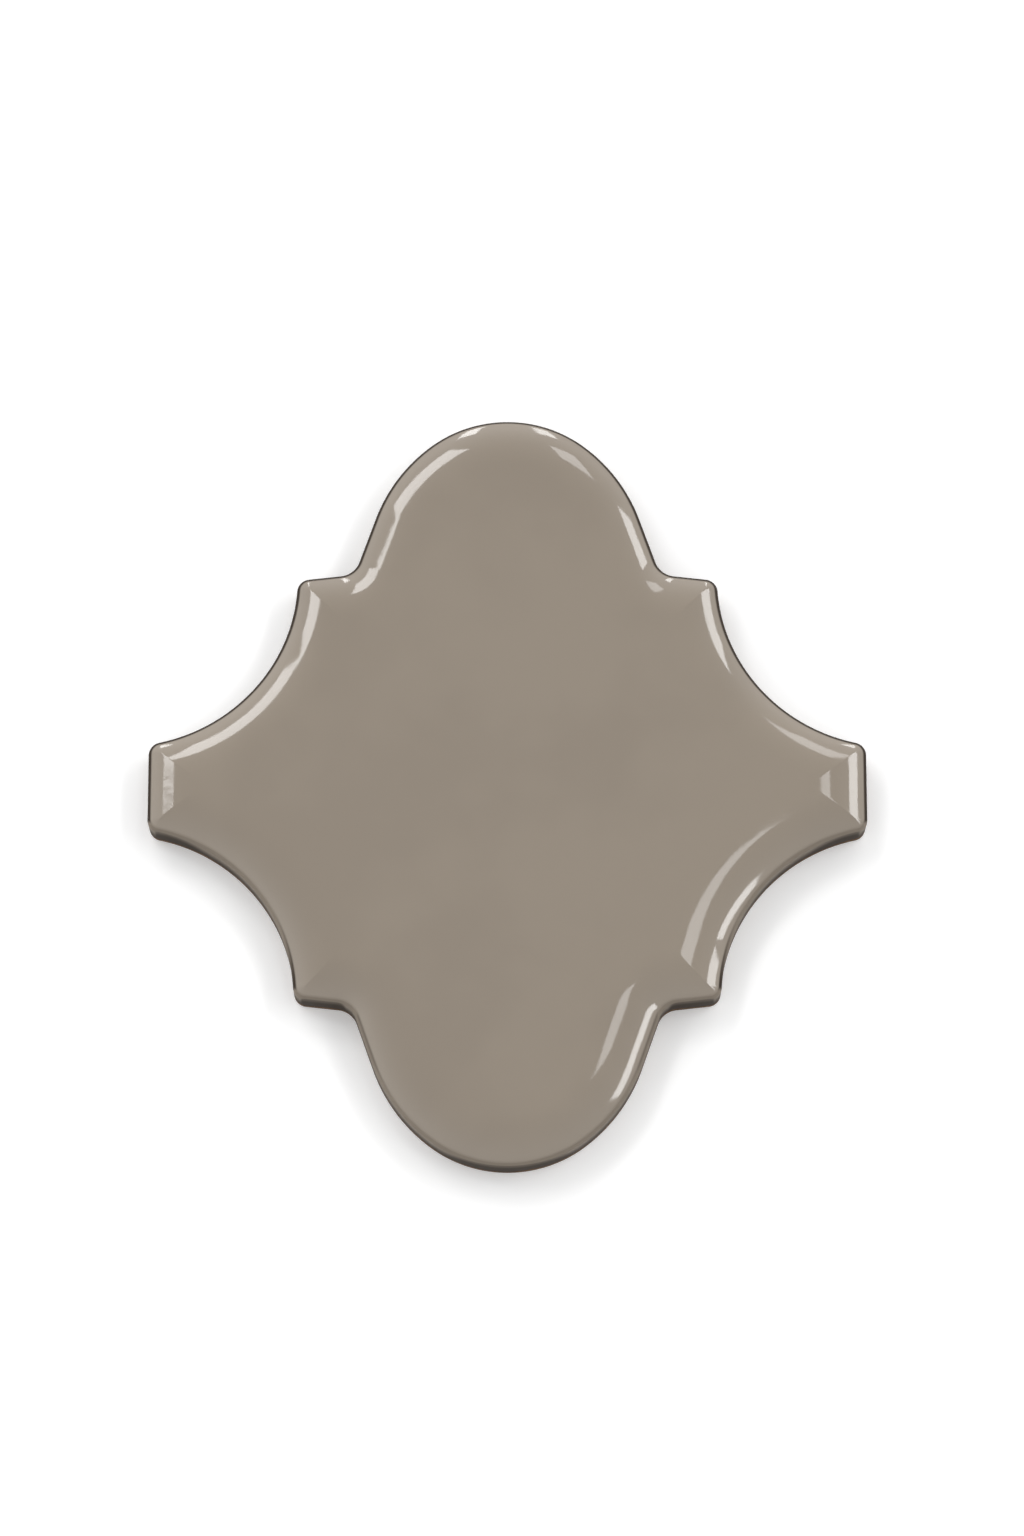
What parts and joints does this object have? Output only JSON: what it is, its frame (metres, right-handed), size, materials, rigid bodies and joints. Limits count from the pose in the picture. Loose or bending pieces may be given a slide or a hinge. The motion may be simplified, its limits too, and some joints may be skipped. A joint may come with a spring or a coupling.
{
  "type": "arabesque wall tile",
  "caption": "Glazed ceramic wall tile of arabesque outline: round lobes, hollow sides, flat ends and a cushioned face; keyed back for adhesive.",
  "frame": {"origin": "middle of the back, on the plane that the tile rests on", "axes": "+Z out of the glazed face, +Y towards one lobe, +X towards one flat end"},
  "size_m": [0.118, 0.1262, 0.0084],
  "materials": {
    "glaze": "glossy taupe glaze over a brown fired body"
  },
  "bodies": {
    "root": {"tile": "glaze"}
  },
  "joints": []
}
